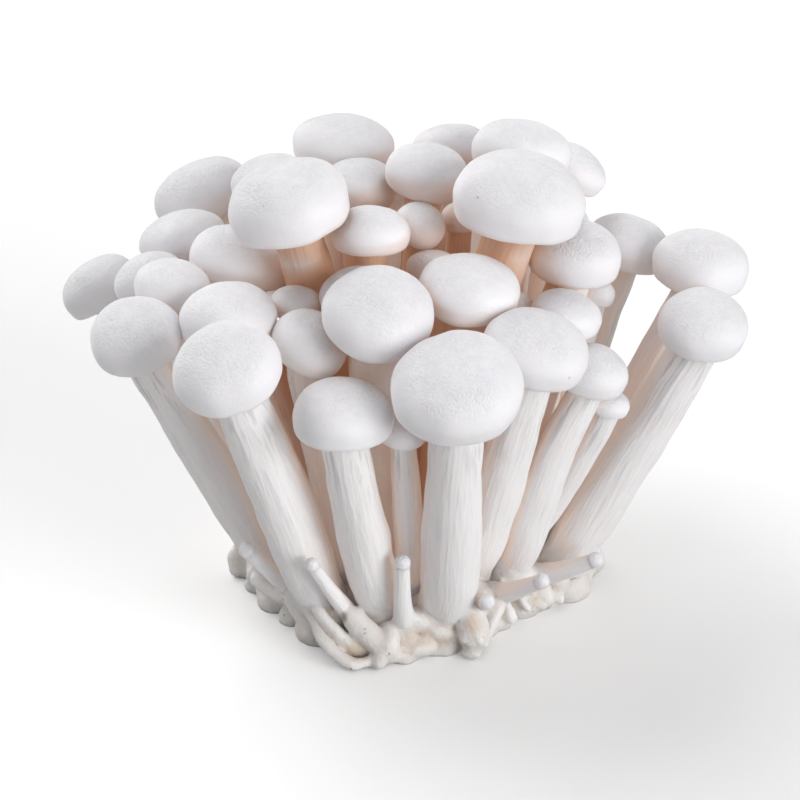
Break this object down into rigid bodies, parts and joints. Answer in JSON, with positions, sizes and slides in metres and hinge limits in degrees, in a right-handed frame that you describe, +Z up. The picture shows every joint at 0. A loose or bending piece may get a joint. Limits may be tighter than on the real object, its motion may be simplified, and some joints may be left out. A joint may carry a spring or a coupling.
{
  "type": "white shimeji mushroom bunch",
  "caption": "Fresh bunch of white shimeji mushrooms: small domed caps on long crowded stems that fan out of one cut foot, on which the bunch stands.",
  "frame": {"origin": "middle of the flat cut face under the foot", "axes": "+Z up, along the stems; the front of the bunch faces -Y; +X to the right, the way the bunch is widest"},
  "size_m": [0.1408, 0.1247, 0.0989],
  "materials": {
    "flesh": "matte, finely pitted white skin on the caps and lengthwise fibres on the stems",
    "mycelium": "matte cream felt with tan patches"
  },
  "bodies": {
    "root": {"mushroom_01": "flesh", "mushroom_02": "flesh", "mushroom_03": "flesh", "mushroom_04": "flesh", "mushroom_05": "flesh", "mushroom_06": "flesh", "mushroom_07": "flesh", "mushroom_08": "flesh", "mushroom_09": "flesh", "mushroom_10": "flesh", "mushroom_11": "flesh", "mushroom_12": "flesh", "mushroom_13": "flesh", "mushroom_14": "flesh", "mushroom_15": "flesh", "mushroom_16": "flesh", "mushroom_17": "flesh", "mushroom_18": "flesh", "mushroom_19": "flesh", "mushroom_20": "flesh", "mushroom_21": "flesh", "mushroom_22": "flesh", "mushroom_23": "flesh", "mushroom_24": "flesh", "mushroom_25": "flesh", "mushroom_26": "flesh", "mushroom_27": "flesh", "mushroom_28": "flesh", "mushroom_29": "flesh", "mushroom_30": "flesh", "mushroom_31": "flesh", "mushroom_32": "flesh", "mushroom_33": "flesh", "mushroom_34": "flesh", "mushroom_35": "flesh", "mushroom_36": "flesh", "mushroom_37": "flesh", "mushroom_38": "flesh", "mushroom_39": "flesh", "mushroom_40": "flesh", "mushroom_41": "flesh", "mushroom_42": "flesh", "mushroom_43": "flesh", "mushroom_44": "flesh", "mushroom_45": "flesh", "mushroom_46": "flesh", "mushroom_47": "flesh", "mushroom_48": "flesh", "mushroom_49": "flesh", "pin_01": "flesh", "pin_02": "flesh", "pin_03": "flesh", "pin_04": "flesh", "pin_05": "flesh", "pin_06": "flesh", "pin_07": "flesh", "pin_08": "flesh", "pin_09": "flesh", "pin_10": "flesh", "foot": "mycelium"}
  },
  "joints": []
}
